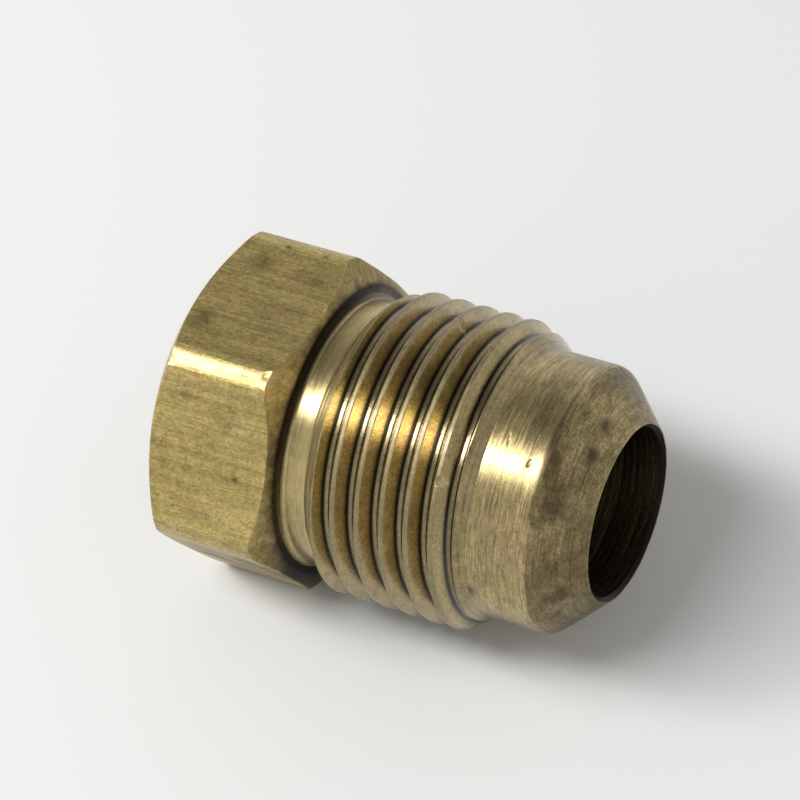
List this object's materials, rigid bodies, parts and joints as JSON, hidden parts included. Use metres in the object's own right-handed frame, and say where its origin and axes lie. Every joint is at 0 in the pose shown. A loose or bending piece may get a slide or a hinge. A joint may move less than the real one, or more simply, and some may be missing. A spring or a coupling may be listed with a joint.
{
  "type": "flare fitting",
  "caption": "Brass flare fitting body: wrench hexagon with a tapered pipe hole, male straight thread and 45 degree flare seat with an open bore.",
  "frame": {"origin": "on the fitting's axis, at the hexagon's end face, in the mouth of the pipe hole", "axes": "+X along the axis towards the flare nose, +Z square to the upper wrench flat, so the fitting lies on the flat that faces -Z"},
  "size_m": [0.0269, 0.0212, 0.019],
  "materials": {
    "drawn_brass": "drawn bar, fine lengthwise lines, dull olive tarnish",
    "turned_brass": "fine turned, satin",
    "threaded_brass": "cut thread, semi-bright"
  },
  "bodies": {
    "root": {"wrench_hex": "drawn_brass", "pipe_thread": "threaded_brass", "neck_collar": "turned_brass", "thread_core": "threaded_brass", "flare_thread": "threaded_brass", "lead_in_cone": "turned_brass", "nose_band": "turned_brass", "flare_cone": "turned_brass"}
  },
  "joints": []
}
